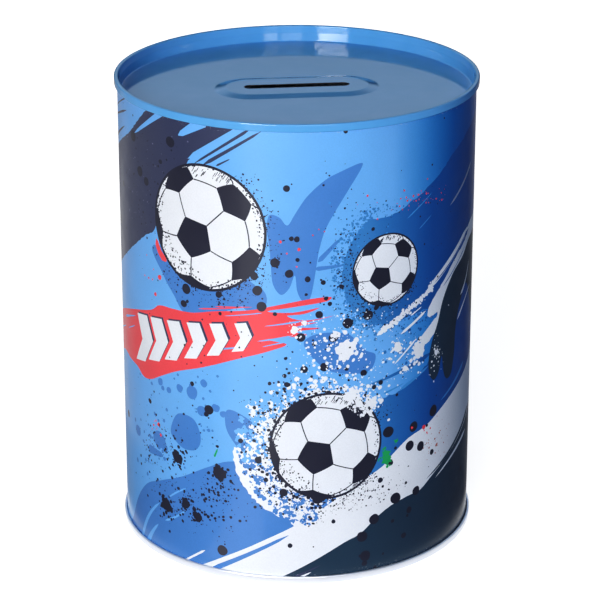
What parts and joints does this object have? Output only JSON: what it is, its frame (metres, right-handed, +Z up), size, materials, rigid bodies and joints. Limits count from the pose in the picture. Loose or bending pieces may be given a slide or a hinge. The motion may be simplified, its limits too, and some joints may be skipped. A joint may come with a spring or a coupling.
{
  "type": "tin money box",
  "caption": "Round tinplate money box: printed tube closed by two double-seamed ends, with a coin slot in a raised oval on the sunk top panel.",
  "frame": {"origin": "centre of the flat crest of the bottom seam, on which the box stands", "axes": "+Z up along the tube's axis, +X along the coin slot"},
  "size_m": [0.1524, 0.1524, 0.2],
  "materials": {
    "printed_tinplate": "gloss varnish over print",
    "blue_lacquer": "gloss lacquer",
    "bare_tinplate": "bright tinplate",
    "seam_compound": "matt, hidden in the seams"
  },
  "bodies": {
    "root": {"body_shell": "printed_tinplate", "top_end": "blue_lacquer", "bottom_end": "bare_tinplate", "top_seam_compound": "seam_compound", "bottom_seam_compound": "seam_compound"}
  },
  "joints": []
}
